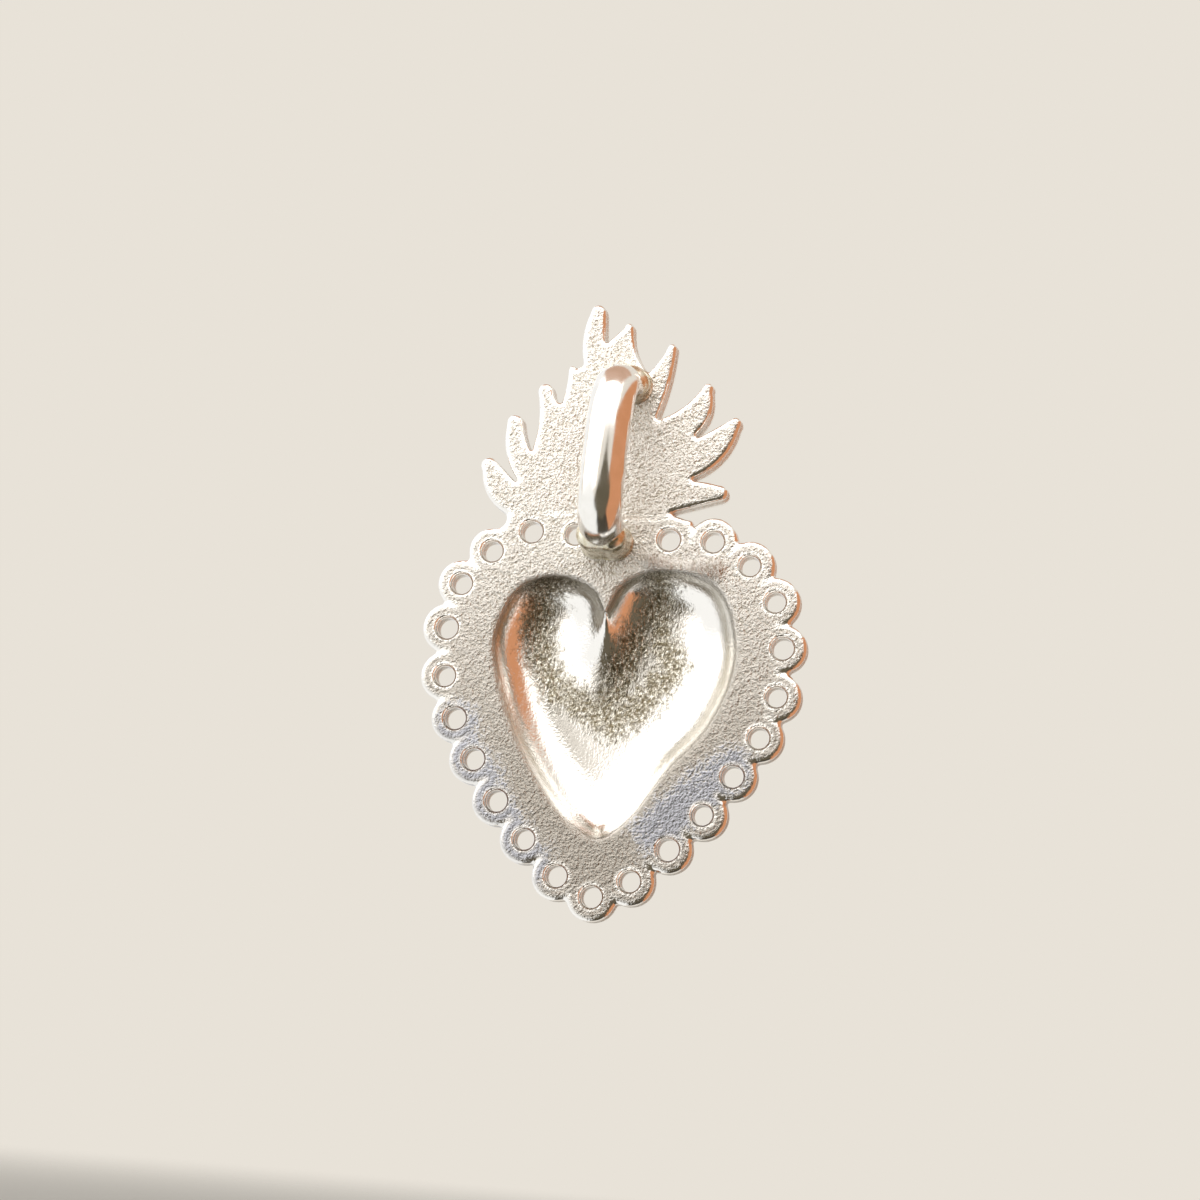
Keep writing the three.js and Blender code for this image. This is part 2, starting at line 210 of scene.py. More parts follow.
flame_outline = crown_outline()
print("flames:", len(LICKS), "licks,", len(flame_outline), "points")

# %% [markdown]
# ## The casting
# On the real medal nothing is sharp: the wax model was filed, the metal shrank, and the scallops,
# the neck and the flames run into each other through small fillets. Joining solids and bevelling
# them gives broken corners where several round shapes meet. A field of distances does better. Every
# shape is a function that says how far a place is from its surface, two shapes are blended by a
# smooth minimum, and one is carved out of the other by a smooth maximum. A skin is then laid over
# the places where the field is zero.

# %% Distances in the plane of the plate
def beside_stretch(stretch, x, y):
    """How far places lie from a straight stretch, and how far along it they are, from 0 to 1."""
    (ax, ay), (bx, by) = stretch
    run = bx - ax
    rise = by - ay
    along = np.clip(((x - ax) * run + (y - ay) * rise) / (run**2 + rise**2), 0, 1)
    return np.hypot(x - ax - along * run, y - ay - along * rise), along


def distance_to_outline(outline, x, y):
    nearest = np.full(x.shape, np.inf)
    inside = np.zeros(x.shape, bool)
    for (ax, ay), (bx, by) in zip(outline, np.roll(outline, -1, axis=0)):
        nearest = np.minimum(nearest, beside_stretch([(ax, ay), (bx, by)], x, y)[0])
        if by != ay:
            inside ^= ((ay > y) != (by > y)) & (x < ax + (bx - ax) * (y - ay) / (by - ay))
    return np.where(inside, -nearest, nearest)


def blended(one, other, fillet):
    overlap = np.maximum(fillet - np.abs(one - other), 0) / fillet
    return np.minimum(one, other) - overlap**2 * fillet / 4


def carved(one, cutter, rounding):
    return -blended(-one, cutter, rounding)


# %% The border, the neck and the flames
NECK = [[3.4, 3.9], [3.4, 4.9], [-5.2, 4.95], [-5.45, 4.7], [-5.5, 4.3], [-5.8, 3.9], [-5.6, 3.2]]
SCALLOP_RADIUS = 1.16
SCALLOP_FILLET = 0.3
SCALLOP_SPREAD = 0.035
SCALLOP_SEED = 3


def border_distance(x, y):
    picks = np.random.default_rng(SCALLOP_SEED)
    uneven = picks.uniform(-SCALLOP_SPREAD, SCALLOP_SPREAD, len(hole_centres))
    body = distance_to_outline(hole_centres, x, y)
    for (cx, cy), extra in zip(hole_centres, uneven):
        body = blended(body, np.hypot(x - cx, y - cy) - SCALLOP_RADIUS - extra, SCALLOP_FILLET)
    return blended(body, distance_to_outline(NECK, x, y), SCALLOP_FILLET)


def flame_distance(x, y):
    return distance_to_outline(flame_outline, x, y)


# %% [markdown]
# ## The front of the flames
# On the front the flames stand a little proud of the plate, and a groove runs from each notch
# towards their root, shallower and narrower on its way. A bump in the material would only be a
# shade, and it would be lost at the outline, so the grooves are carved out of the shape itself.

# %% The veins in the front of the flames
VEIN_DEPTH = 0.3
VEIN_HALF_WIDTH = 0.26
VEIN_LENGTH = 0.55
VEIN_LEAD = 0.3
VEIN_BEND = 0.3
VEIN_TAPER = 0.95
VEIN_ROUNDING = 0.06


def vein_line(notch):
    """Each vein runs from a notch towards the root of the flames, in a slight bend."""
    aim = FLAME_ROOT - notch
    start = notch - unit(aim) * VEIN_LEAD
    end = notch + aim * VEIN_LENGTH
    bend = left_of(unit(aim)) * VEIN_BEND * math.copysign(1, notch[0] - FLAME_ROOT[0])
    return np.vstack([start, bent_line(start, (start + end) / 2 + bend, end)])


def vein_distance(x, y, height):
    """A groove with two slanting walls, which grows shallower and narrower along its line."""
    nearest = np.full(x.shape, np.inf)
    for lick in LICKS[:-1]:
        line = vein_line(np.array(lick["notch"]))
        steps = len(line) - 1
        for step, stretch in enumerate(zip(line, line[1:])):
            beside, along = beside_stretch(stretch, x, y)
            left = 1 - VEIN_TAPER * (step + along) / steps
            nearest = np.minimum(nearest, beside * VEIN_DEPTH - left * VEIN_DEPTH * VEIN_HALF_WIDTH)
    return (nearest + np.abs(height) * VEIN_HALF_WIDTH) / math.hypot(VEIN_DEPTH, VEIN_HALF_WIDTH)


# %% [markdown]
# ## The puffed heart
# From the front the heart is a plump dome. From the back it is a hollow: two bowls that run
# together into one trough, under a crease that sinks from the cleft. It could be sculpted, but
# then the crease would be pushed in by hand and the wall would be uneven. Here two rules make
# it. The dome rises with how far a place lies in from the rim, and the hollow sinks with the
# distance to the rim and to the crease, both rounded as a squared ellipse is.

# %% The puffed heart and its hollow
CREASE_END = np.array([-0.7, -3.4])
CREASE_STEPS = 60
HOLLOW_DEPTH = 1.8
HOLLOW_FULLNESS = 2.0
WALL_SQUARENESS = 1.5
HEART_WALL = 0.8
HEART_FULLNESS = 2.6
HEART_SQUARENESS = 2.0
LEAST_SLOPE = 0.2


def rim_share(x, y, wall):
    """How far out towards the rim a place lies: 0 where the crease ends, 1 on the rim."""
    spokes = hollow_rim - CREASE_END
    bearings = np.arctan2(spokes[:, 1], spokes[:, 0])
    reaches = np.hypot(spokes[:, 0], spokes[:, 1]) + wall
    dx = x - CREASE_END[0]
    dy = y - CREASE_END[1]
    reach = np.interp(np.arctan2(dy, dx), bearings, reaches, period=2 * math.pi)
    return np.hypot(dx, dy) / reach


def crease_line():
    """The crease sinks from the cleft to the floor of the hollow: its points, and how deep each one is."""
    share = np.linspace(0, 1, CREASE_STEPS)[1:]
    line = hollow_rim[0] + share[:, None] * (CREASE_END - hollow_rim[0])
    return line, share * HOLLOW_DEPTH


def soft_distance(x, y):
    """A distance to the rim and the crease without ridges in between, as each point pushes from afar."""
    line, depths = crease_line()
    points = np.vstack([hollow_rim, line])
    depths = np.append(np.zeros(len(hollow_rim)), depths)
    lengths = np.linalg.norm(np.diff(points, axis=0, append=points[-1:]), axis=1)
    lengths[len(hollow_rim) - 1] = lengths[0]
    push = 0
    for (px, py), depth, length in zip(points, depths, lengths):
        push = push + length / ((x - px) ** 2 + (y - py) ** 2 + depth**2) ** 1.5
    return np.sqrt(2 / push)


def hollow_share(x, y):
    """1 on the rim of the hollow, 0 at its deepest place, and more than 1 outside it."""
    distance = np.where(rim_share(x, y, 0) < 1, soft_distance(x, y), -soft_distance(x, y))
    return 1 - distance / distance.max()


def puffed(share, fullness, depth, height, squareness):
    """Below zero inside a dome whose section is a squared ellipse."""
    return share**fullness + (np.maximum(depth, 0) / height) ** squareness - 1


def as_distance(values, step):
    slope = np.sqrt(sum(part**2 for part in np.gradient(values, step)))
    return values / np.maximum(slope, LEAST_SLOPE)


# %% The field of the whole casting
PLATE_THICKNESS = 1.25
FLAME_RELIEF = 0.3
EDGE_ROUNDING = 0.22
RIM_ROUNDING = 0.16
HEART_FILLET = 0.35
RELIEF_FILLET = 0.08
CELL = 0.11
MARGIN = 3 * CELL


def casting_reach():
    """The lowest and highest corner of a box with a small margin round the casting."""
    lines = np.vstack([hole_centres - SCALLOP_RADIUS, hole_centres + SCALLOP_RADIUS, flame_outline])
    low = np.append(lines.min(axis=0), -HOLLOW_DEPTH - HEART_WALL)
    high = np.append(lines.max(axis=0), 0)
    return low - MARGIN, high + MARGIN


def slab(beside, z, low, high):
    beside = beside + EDGE_ROUNDING
    above = np.abs(z - (low + high) / 2) - (high - low) / 2 + EDGE_ROUNDING
    outside = np.hypot(np.maximum(beside, 0), np.maximum(above, 0))
    return outside + np.minimum(np.maximum(beside, above), 0) - EDGE_ROUNDING


def grid_of(low, high, cell):
    counts = np.ceil((high - low) / cell).astype(int) + 1
    x, y, z = (start + cell * np.arange(count) for start, count in zip(low, counts))
    return x[:, None, None], y[None, :, None], z[None, None, :]


def casting_field(low, high):
    x, y, z = grid_of(low, high, CELL)
    flat_x, flat_y = np.broadcast_arrays(x, y)
    flames = flame_distance(flat_x, flat_y)
    plate = slab(blended(border_distance(flat_x, flat_y), flames, SCALLOP_FILLET), z, -PLATE_THICKNESS, 0)
    relief = slab(flames, z, -PLATE_THICKNESS - FLAME_RELIEF, -PLATE_THICKNESS / 2)
    veins = vein_distance(flat_x, flat_y, z + PLATE_THICKNESS + FLAME_RELIEF)
    relief = carved(relief, veins, VEIN_ROUNDING)
    field = blended(plate, relief, RELIEF_FILLET)

    crown_height = HOLLOW_DEPTH + HEART_WALL - PLATE_THICKNESS
    outer = rim_share(flat_x, flat_y, HEART_WALL)
    outer = puffed(outer, HEART_FULLNESS, -PLATE_THICKNESS - z, crown_height, HEART_SQUARENESS)
    outer = np.maximum(as_distance(outer, CELL), z + PLATE_THICKNESS / 2)
    field = blended(field, outer, HEART_FILLET)

    inner = puffed(hollow_share(flat_x, flat_y), HOLLOW_FULLNESS, -z, HOLLOW_DEPTH, WALL_SQUARENESS)
    return carved(field, as_distance(inner, CELL), RIM_ROUNDING)


casting_low, casting_high = casting_reach()
field = casting_field(casting_low, casting_high)
print("casting field:", field.shape, "places,", int((field < 0).sum()), "of them in metal")

# %% [markdown]
# ## A skin over a field
# Each small cell that the surface crosses gets one corner, at the mean of the crossings on its
# edges, and each grid edge that the surface crosses gets one four-sided face between the four cells
# round it. The corners then slide down the slope of the field until they lie on the surface. The
# result is closed, even and free of poles.

# %% Cells, corners and faces
SLIDES = 4
LEAST_STEEPNESS = 1e-6


def read_between(grid, places):
    base = np.clip(np.floor(places).astype(int), 0, np.array(grid.shape) - 2)
    part = places - base
    total = 0
    for corner in itertools.product((0, 1), repeat=3):
        weight = np.prod(np.where(corner, part, 1 - part), axis=1)
        total = total + weight * grid[tuple((base + corner).T)]
    return total


def crossings_along(grid, axis):
    """The places where the surface crosses grid lines of one direction, and the four cells round each."""
    here, across, beyond = np.roll(np.eye(3, dtype=int), -axis, axis=0)
    ends = [tuple(slice(1, None) if along and far else slice(None, -1) if along else slice(None)
                  for along in here) for far in (False, True)]
    edges = np.argwhere((grid[ends[0]] < 0) != (grid[ends[1]] < 0))
    before = grid[tuple(edges.T)]
    after = grid[tuple((edges + here).T)]
    places = edges + here * (before / (before - after))[:, None]
    ring = np.stack([edges, edges - across, edges - across - beyond, edges - beyond], axis=1)
    ring[before >= 0] = ring[before >= 0][:, ::-1]
    return places, ring


def skin(grid):
    places, rings = zip(*(crossings_along(grid, axis) for axis in range(3)))
    places = np.vstack(places)
    rings = np.vstack(rings)
    cells, faces = np.unique(np.ravel_multi_index(rings.reshape(-1, 3).T, grid.shape), return_inverse=True)
    faces = faces.reshape(-1, 4)
    owners = faces.ravel()
    shared = np.bincount(owners)
    corners = np.stack([np.bincount(owners, np.repeat(part, 4)) / shared for part in places.T], axis=1)
    slopes = np.gradient(grid)
    for _ in range(SLIDES):
        slope = np.stack([read_between(part, corners) for part in slopes], axis=1)
        steepness = np.maximum((slope**2).sum(axis=1), LEAST_STEEPNESS)
        corners -= slope * (read_between(grid, corners) / steepness)[:, None]
    return corners, faces


def new_piece(name, points, faces):
    mesh = bpy.data.meshes.new(name)
    mesh.from_pydata(points.tolist(), [], faces.tolist())
    mesh.validate()
    mesh.polygons.foreach_set("use_smooth", np.ones(len(mesh.polygons), bool))
    piece = bpy.data.objects.new(name, mesh)
    bpy.context.scene.collection.objects.link(piece)
    return piece


corners, faces = skin(field)
blank = new_piece("heart_medal_blank", casting_low + CELL * corners, faces)
print("blank:", len(corners), "corners,", 2 * len(faces), "triangles")

# %% [markdown]
# ## Piercing the border
# On the real medal each scallop holds one drilled hole with a slightly broken edge, and no two are
# quite alike. This is a repeat along a path, which is what Geometry Nodes are for: one drill shape
# is put at each centre, a little larger or smaller each time from a fixed seed, and all of them are
# cut away at once. The edge that the cut leaves is kept sharp by the Intersecting Edges output, so
# that the plate beside it still shades smoothly.

# %% Helpers for building node trees
def add_node(tree, kind, inputs=None, **settings):
    made = tree.nodes.new(kind)
    for name, value in settings.items():
        setattr(made, name, value)
    for socket, value in (inputs or {}).items():
        if isinstance(value, bpy.types.NodeSocket):
            tree.links.new(value, made.inputs[socket])
        else:
            made.inputs[socket].default_value = value
    return made


def maths(tree, operation, *values):
    return add_node(tree, "ShaderNodeMath", dict(enumerate(values)), operation=operation).outputs[0]


def vector_of(tree, x=0.0, y=0.0, z=0.0):
    return add_node(tree, "ShaderNodeCombineXYZ", {"X": x, "Y": y, "Z": z}).outputs[0]


def parts_of(tree, vector):
    return add_node(tree, "ShaderNodeSeparateXYZ", {0: vector}).outputs


def new_geometry_tree(name, inputs):
    tree = bpy.data.node_groups.new(name, "GeometryNodeTree")
    tree.interface.new_socket("Geometry", in_out="INPUT", socket_type="NodeSocketGeometry")
    for title, kind in inputs.items():
        tree.interface.new_socket(title, in_out="INPUT", socket_type="NodeSocket" + kind)
    tree.interface.new_socket("Geometry", in_out="OUTPUT", socket_type="NodeSocketGeometry")
    return tree, add_node(tree, "NodeGroupInput").outputs, add_node(tree, "NodeGroupOutput").inputs


def grown(host, tree, values, name):
    """The plain mesh that a tree makes from a host object, as a new object. The host is removed."""
    modifier = host.modifiers.new(tree.name, "NODES")
    modifier.node_group = tree
    for socket in tree.interface.items_tree:
        if socket.in_out == "INPUT" and socket.name in values:
            modifier[socket.identifier] = values[socket.name]
    shaped = host.evaluated_get(bpy.context.evaluated_depsgraph_get())
    mesh = bpy.data.meshes.new_from_object(shaped)
    host.modifiers.remove(modifier)
    bpy.data.objects.remove(host)
    mesh.name = name
    piece = bpy.data.objects.new(name, mesh)
    bpy.context.scene.collection.objects.link(piece)
    return piece


# %% The tree that drills the holes
DRILL_STEPS = 18
DRILL_REACH = 0.2


def drilling_tree():
    tree, given, result = new_geometry_tree("drilled border", {
        "Centres": "Object",
        "Hole Radius": "Float",
        "Chamfer": "Float",
        "Chamfer Depth": "Float",
        "Plate Thickness": "Float",
        "Radius Spread": "Float",
        "Sides": "Int",
        "Seed": "Int",
        "Material": "Material",
    })
    half = maths(tree, "MULTIPLY", given["Plate Thickness"], 0.5)
    length = maths(tree, "ADD", given["Plate Thickness"], 2 * DRILL_REACH)
    rod = add_node(tree, "GeometryNodeMeshCylinder", {
        "Vertices": given["Sides"], "Side Segments": DRILL_STEPS, "Radius": 1.0, "Depth": length})
    x, y, z = parts_of(tree, add_node(tree, "GeometryNodeInputPosition").outputs[0])
    height = maths(tree, "ABSOLUTE", z)
    start = maths(tree, "SUBTRACT", half, given["Chamfer Depth"])
    past = maths(tree, "DIVIDE", maths(tree, "SUBTRACT", height, start), given["Chamfer Depth"])
    flare = maths(tree, "POWER", maths(tree, "MAXIMUM", past, 0.0), 2.0)
    radius = maths(tree, "MULTIPLY_ADD", flare, given["Chamfer"], given["Hole Radius"])
    flared = vector_of(tree, maths(tree, "MULTIPLY", x, radius), maths(tree, "MULTIPLY", y, radius), z)
    drill = add_node(tree, "GeometryNodeSetPosition", {0: rod.outputs["Mesh"], "Position": flared})

    centres = add_node(tree, "GeometryNodeObjectInfo", {"Object": given["Centres"]})
    size = add_node(tree, "FunctionNodeRandomValue", {
        "Min": maths(tree, "SUBTRACT", 1.0, given["Radius Spread"]),
        "Max": maths(tree, "ADD", 1.0, given["Radius Spread"]), "Seed": given["Seed"]}, data_type="FLOAT")
    drills = add_node(tree, "GeometryNodeInstanceOnPoints", {
        "Points": centres.outputs["Geometry"], "Instance": drill.outputs[0],
        "Scale": vector_of(tree, size.outputs["Value"], size.outputs["Value"], 1.0)})
    solid_drills = add_node(tree, "GeometryNodeRealizeInstances", {0: drills.outputs[0]})
    cut = add_node(tree, "GeometryNodeMeshBoolean", {
        "Mesh 1": given["Geometry"], "Mesh 2": solid_drills.outputs[0]},
        operation="DIFFERENCE", solver="EXACT")
    smooth = add_node(tree, "GeometryNodeSetShadeSmooth", {0: cut.outputs["Mesh"], "Shade Smooth": True})
    kept = add_node(tree, "GeometryNodeSetShadeSmooth", {
        0: smooth.outputs[0], "Selection": cut.outputs["Intersecting Edges"], "Shade Smooth": False},
        domain="EDGE")
    plain = add_node(tree, "GeometryNodeRealizeInstances", {0: kept.outputs[0]})
    finished = add_node(tree, "GeometryNodeSetMaterial", {
        0: plain.outputs[0], "Material": given["Material"]})
    tree.links.new(finished.outputs[0], result[0])
    return tree


# %% Drill the border
HOLE_RADIUS = 0.48
HOLE_CHAMFER = 0.12
CHAMFER_DEPTH = 0.2
HOLE_SPREAD = 0.05
HOLE_SIDES = 28
HOLE_SEED = 7

cast_silver = bpy.data.materials.new("cast silver")
drill_places = np.column_stack([hole_centres, np.full(len(hole_centres), -PLATE_THICKNESS / 2)])
centres = new_piece("hole_centres", drill_places, np.empty((0, 3), int))
casting = grown(blank, drilling_tree(), {
    "Centres": centres,
    "Hole Radius": HOLE_RADIUS,
    "Chamfer": HOLE_CHAMFER,
    "Chamfer Depth": CHAMFER_DEPTH,
    "Plate Thickness": PLATE_THICKNESS,
    "Radius Spread": HOLE_SPREAD,
    "Sides": HOLE_SIDES,
    "Seed": HOLE_SEED,
    "Material": cast_silver,
}, "heart_medal")
bpy.data.objects.remove(centres)
print("casting:", len(casting.data.vertices), "corners,", len(casting.data.polygons), "faces")

# %% [markdown]
# ## The bail
# The bail is a length of half-round wire, flat inside and domed outside, bent into a squarish arch
# and soldered at both feet. A section that follows a path is the second thing that Geometry Nodes
# do well. The arch is one straight line whose points are moved onto a squared ellipse, and the
# section is a circle whose points are moved onto the half-round, so every size stays a named input.

# %% The tree that sweeps the wire
SECTION_POINTS = 64
SECTION_SQUARENESS = 0.4


def signed_power(tree, value, power):
    size = maths(tree, "POWER", maths(tree, "ABSOLUTE", value), power)
    return maths(tree, "MULTIPLY", maths(tree, "SIGN", value), size)


def arch_tree():
    tree, given, result = new_geometry_tree("half-round arch", {
        "Span": "Float",
        "Rise": "Float",
        "Foot Height": "Float",
        "Squareness": "Float",
        "Wire Width": "Float",
        "Wire Thickness": "Float",
        "Wire Corner": "Float",
        "Steps": "Int",
        "Material": "Material",
    })
    line = add_node(tree, "GeometryNodeCurvePrimitiveLine")
    points = add_node(tree, "GeometryNodeResampleCurve", {
        "Curve": line.outputs[0], "Count": given["Steps"]})
    factor = add_node(tree, "GeometryNodeSplineParameter").outputs["Factor"]
    turn = maths(tree, "MULTIPLY", factor, math.pi)
    power = maths(tree, "DIVIDE", 2.0, given["Squareness"])
    along = signed_power(tree, maths(tree, "COSINE", turn), power)
    up = signed_power(tree, maths(tree, "SINE", turn), power)
    half_span = maths(tree, "MULTIPLY", given["Span"], -0.5)
    height = maths(tree, "MULTIPLY_ADD", up, given["Rise"], given["Foot Height"])
    arch_place = vector_of(tree, 0.0, maths(tree, "MULTIPLY", along, half_span), height)
    arch = add_node(tree, "GeometryNodeSetPosition", {0: points.outputs[0], "Position": arch_place})

    ring = add_node(tree, "GeometryNodeCurvePrimitiveCircle", {"Resolution": SECTION_POINTS})
    x, y, z = parts_of(tree, add_node(tree, "GeometryNodeInputPosition").outputs[0])
    half_width = maths(tree, "MULTIPLY", given["Wire Width"], 0.5)
    flat_side = maths(tree, "MULTIPLY_ADD", given["Wire Thickness"], -0.5, given["Wire Corner"])
    dome_height = maths(tree, "SUBTRACT", given["Wire Thickness"], given["Wire Corner"])
    domed = maths(tree, "MULTIPLY_ADD", y, dome_height, flat_side)
    squared_y = signed_power(tree, y, SECTION_SQUARENESS)
    flat = maths(tree, "MULTIPLY_ADD", squared_y, given["Wire Corner"], flat_side)
    above = maths(tree, "GREATER_THAN", y, 0.0)
    squared_x = signed_power(tree, x, SECTION_SQUARENESS)
    section_x = add_node(tree, "ShaderNodeMix", {"Factor": above, "A": squared_x, "B": x})
    section_y = add_node(tree, "ShaderNodeMix", {"Factor": above, "A": flat, "B": domed})
    sidewards = maths(tree, "MULTIPLY", section_x.outputs[0], half_width)
    outwards = maths(tree, "MULTIPLY", section_y.outputs[0], -1.0)
    section_place = vector_of(tree, sidewards, outwards)
    section = add_node(tree, "GeometryNodeSetPosition", {0: ring.outputs[0], "Position": section_place})

    wire = add_node(tree, "GeometryNodeCurveToMesh", {
        "Curve": arch.outputs[0], "Profile Curve": section.outputs[0], "Fill Caps": True})
    smooth = add_node(tree, "GeometryNodeSetShadeSmooth", {0: wire.outputs[0], "Shade Smooth": True})
    plain = add_node(tree, "GeometryNodeRealizeInstances", {0: smooth.outputs[0]})
    finished = add_node(tree, "GeometryNodeSetMaterial", {
        0: plain.outputs[0], "Material": given["Material"]})
    tree.links.new(finished.outputs[0], result[0])
    return tree


# %% Bend the bail
BAIL_SPAN = 7.6
BAIL_SQUARENESS = 2.7
WIRE_WIDTH = 2.1
WIRE_CORNER = 0.3
ARCH_STEPS = 120
BEAD_HEIGHT = 1.2

polished_silver = bpy.data.materials.new("polished silver")
start = new_piece("bail_start", np.zeros((1, 3)), np.empty((0, 3), int))
bail = grown(start, arch_tree(), {
    "Span": BAIL_SPAN,
    "Rise": BAIL_HEIGHT - WIRE_THICKNESS / 2 - BEAD_HEIGHT,
    "Foot Height": BEAD_HEIGHT,
    "Squareness": BAIL_SQUARENESS,
    "Wire Width": WIRE_WIDTH,
    "Wire Thickness": WIRE_THICKNESS,
    "Wire Corner": WIRE_CORNER,
    "Steps": ARCH_STEPS,
    "Material": polished_silver,
}, "wire_bail")


# %% Lay the bail on the back of the plate
BAIL_LEAN = math.radians(2.3)


def points_of(piece):
    points = np.empty(3 * len(piece.data.vertices))
    piece.data.vertices.foreach_get("co", points)
    return points.reshape(-1, 3)


def move_points(piece, points):
    piece.data.vertices.foreach_set("co", points.ravel())
    piece.data.update()


def on_bail_line(points):
    """From the bail's own lines, x across the wire and y along the arch, to the drawing."""
    x, y, z = points.T
    across = np.array([math.cos(BAIL_LEAN), -math.sin(BAIL_LEAN)])
    upwards = np.array([math.sin(BAIL_LEAN), math.cos(BAIL_LEAN)])
    flat = BAIL_MIDDLE + x[:, None] * across + y[:, None] * upwards
    return np.column_stack([flat, z])


move_points(bail, on_bail_line(points_of(bail)))
print("bail:", np.ptp(points_of(bail), axis=0).round(2), "mm")

# %% [markdown]
# ## The solder
# Each foot of the bail stands in a small lump of solder. The melt has crept a little way up the
# wire and out over the plate, so it is a mound with a collar. It is made from a field as the
# casting is, with a finer cell and a slow unevenness that is different at each foot.

# %% Two uneven lumps
BEAD_MARGIN = 0.16
BEAD_CORNER = 0.8
SOLDER_CREEP = 0.1
SOLDER_FILLET = 0.8
BEAD_CELL = 0.06
BEAD_UNEVENNESS = 0.04
BEAD_WAVES = 5
WAVE_LENGTH = 1.3


def unevenness(x, y, z, seed):
    """A sum of a few slow waves in seeded directions."""
    picks = np.random.default_rng(seed)
    total = 0
    for _ in range(BEAD_WAVES):
        direction = unit(picks.normal(size=3)) * 2 * math.pi / WAVE_LENGTH
        along = direction[0] * x + direction[1] * y + direction[2] * z
        total = total + np.sin(along + picks.uniform(0, 6))
    return total / BEAD_WAVES


def solder_field(low, high, foot_y, height, seed):
    x, y, z = grid_of(low, high, BEAD_CELL)
    beside = np.abs(y - foot_y)
    far_x = np.abs(x) - WIRE_WIDTH / 2 - BEAD_MARGIN + BEAD_CORNER
    far_y = beside - WIRE_THICKNESS / 2 - BEAD_MARGIN + BEAD_CORNER
    foot = np.hypot(np.maximum(far_x, 0), np.maximum(far_y, 0)) + np.minimum(np.maximum(far_x, far_y), 0)
    foot = foot - BEAD_CORNER + BEAD_UNEVENNESS * unevenness(x, y, z, seed)
    lump = carved(foot, height - z, SOLDER_FILLET)
    spill = z - SOLDER_CREEP + foot / 2
    return np.maximum(blended(lump, np.maximum(spill, foot - SOLDER_CREEP), SOLDER_CREEP), -z)


def solder_joint(name, side, height, seed):
    foot_y = side * BAIL_SPAN / 2
    reach = (WIRE_WIDTH + WIRE_THICKNESS) / 2
    low = np.array([-reach, foot_y - reach, -3 * BEAD_CELL])
    high = np.array([reach, foot_y + reach, height + 4 * BEAD_CELL])
    corners, faces = skin(solder_field(low, high, foot_y, height, seed))
    return new_piece(name, on_bail_line(low + BEAD_CELL * corners), faces)


LOWER_LUMP_HEIGHT = 2.3
UPPER_LUMP_HEIGHT = 1.5
LOWER_LUMP_SEED = 11
UPPER_LUMP_SEED = 4

solder = bpy.data.materials.new("silver solder")
lower_joint = solder_joint("solder_at_lower_foot", -1, LOWER_LUMP_HEIGHT, LOWER_LUMP_SEED)
upper_joint = solder_joint("solder_at_upper_foot", 1, UPPER_LUMP_HEIGHT, UPPER_LUMP_SEED)
for joint in (lower_joint, upper_joint):
    joint.data.materials.append(solder)
print("solder:", len(lower_joint.data.polygons), "and", len(upper_joint.data.polygons), "faces")

# %% [markdown]
# ## Marks for the finishes
# The finish changes over the casting. The hollow is burnished, with a dull stain round its two
# lobes and under the crease, whose dark colour is partly a real stain and partly a painted
# reflection of dark surroundings. The rims and corners are rubbed bright, two patches of the plate
# are worn, the metal above the right lobe is a little flawed, and the plate grows duller towards the
# tip. These places follow the drawing, so they are written on the mesh as numbers at its corners,
# from the same distances that made the shape, and the material reads them.

# %% Write the marks
RUB_START = 0.05
RUB_WIDTH = 0.34
RUB_DEPTH = 0.45
HOLE_RUB_START = 0.08
HOLE_RUB_WIDTH = 0.28
HOLLOW_BLEND = 0.03
HOLLOW_SPILL = 0.02
RIM_LIP = 0.02
DULLING_LOW_Y = -10.5
DULLING_HIGH_Y = 10.5
WORN_WIDTH = 1.3
WORN_LEFT = [[-7.0, -5.6], [-5.4, -8.8], [-2.9, -11.7]]
WORN_RIGHT = [[6.1, -6.8], [2.9, -9.8]]
FLAW_WIDTH = 0.4
FLAWED_EDGE = [[1.6, 2.8], [2.9, 2.3], [4.7, 2.6]]
# These paths mark where the hollow is darker: partly a real stain, partly a painted reflection of dark
# surroundings.
STAIN_AND_REFLECTION_WIDTH = 1.1
STAIN_AND_REFLECTION_ROUND_LOBES = [
    [-2.3, 2.2], [-3.6, 1.5], [-3.7, -0.3], [-3.4, -2.0], [-2.6, -3.3], [-1.1, -4.1], [0.1, -4.8],
    [1.5, -3.7], [2.8, -1.8], [2.1, -0.3], [2.0, 2.6],
]
STAIN_AND_REFLECTION_BY_CREASE = [[-0.2, -4.2], [0.4, -2.5], [1.0, -0.8]]


def faded(values, full, none):
    """1 where values reach full, 0 where they reach none, and a soft step between."""
    share = np.clip((values - none) / (full - none), 0, 1)
    return share**2 * (3 - 2 * share)


def near_paths(paths, width, x, y):
    """1 on paths of straight stretches, and less and less beside them."""
    stretches = [stretch for path in paths for stretch in zip(path, path[1:])]
    beside = np.min([beside_stretch(stretch, x, y)[0] for stretch in stretches], axis=0)
    return np.exp(-((beside / width) ** 2))


def facing_back(piece):
    normals = np.empty(3 * len(piece.data.vertices))
    piece.data.vertices.foreach_get("normal", normals)
    return normals[2::3] > 0


def mark(piece, name, values):
    attribute = piece.data.attributes.new(name, "FLOAT", "POINT")
    attribute.data.foreach_set("value", values.astype(np.float32))


